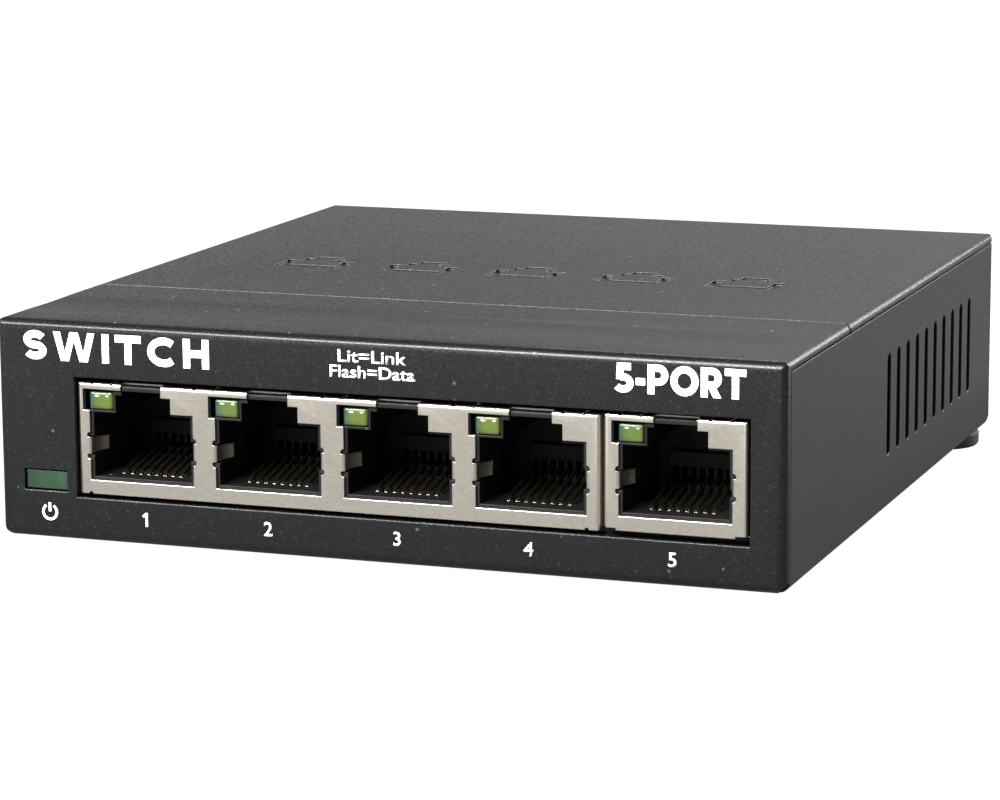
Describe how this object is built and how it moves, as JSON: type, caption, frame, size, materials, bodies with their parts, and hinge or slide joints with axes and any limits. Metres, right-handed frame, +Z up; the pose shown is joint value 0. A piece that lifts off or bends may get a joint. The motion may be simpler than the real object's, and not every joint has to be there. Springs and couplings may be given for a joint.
{
  "type": "desktop network switch",
  "caption": "Small desktop network switch in a folded black steel case, with a row of shielded sockets in front, side vents, rubber feet and a round power inlet at the back.",
  "frame": {"origin": "centre of the footprint, at the bottom of the rubber feet", "axes": "+X to the right seen from the front, +Y to the back, +Z up; the sockets face -Y"},
  "size_m": [0.094, 0.101, 0.0275],
  "materials": {
    "case_paint": "fine-grained black powder coat",
    "screw_black": "black-coated steel",
    "shield_nickel": "satin nickel plate",
    "jack_plastic": "moulded black",
    "inlet_plastic": "moulded black",
    "contact_gold": "gold plate",
    "led_plastic": "translucent green",
    "lens_plastic": "translucent dark green",
    "led_white": "white chip package",
    "tinned": "bright tin",
    "board_green": "solder mask",
    "chip_black": "moulded black",
    "can_steel": "drawn can",
    "ferrite": "grey ferrite",
    "capacitor_can": "sleeved can",
    "chip_ceramic": "tan ceramic",
    "zinc": "zinc plate",
    "foot_rubber": "matte black"
  },
  "bodies": {
    "root": {"base_chassis": "case_paint", "front_panel": "case_paint", "top_cover": "case_paint", "rear_panel": "case_paint", "case_screws": "screw_black", "main_board": "board_green", "board_standoffs": "zinc", "board_screws": "zinc", "gang_jack_shield": "shield_nickel", "gang_jack_housing": "jack_plastic", "single_jack_shield": "shield_nickel", "single_jack_housing": "jack_plastic", "port_1_contacts": "contact_gold", "port_2_contacts": "contact_gold", "port_3_contacts": "contact_gold", "port_4_contacts": "contact_gold", "port_5_contacts": "contact_gold", "port_1_led": "led_plastic", "port_2_led": "led_plastic", "port_3_led": "led_plastic", "port_4_led": "led_plastic", "port_5_led": "led_plastic", "led_leads": "tinned", "power_lens": "lens_plastic", "power_led": "led_white", "inlet_housing": "inlet_plastic", "inlet_pin": "tinned", "inlet_spring": "tinned", "switch_chip": "chip_black", "switch_chip_pins": "tinned", "transformer_1": "chip_black", "transformer_2": "chip_black", "transformer_3": "chip_black", "transformer_4": "chip_black", "transformer_5": "chip_black", "transformer_pins": "tinned", "crystal_can": "can_steel", "memory_chip": "chip_black", "regulator_chip": "chip_black", "power_inductor": "ferrite", "input_capacitor": "capacitor_can", "output_capacitor": "capacitor_can", "input_fuse": "chip_black", "input_diode": "chip_black", "ceramic_capacitors": "chip_ceramic", "chip_resistors": "chip_black", "front_left_foot": "foot_rubber", "front_right_foot": "foot_rubber", "rear_left_foot": "foot_rubber", "rear_right_foot": "foot_rubber"}
  },
  "joints": []
}
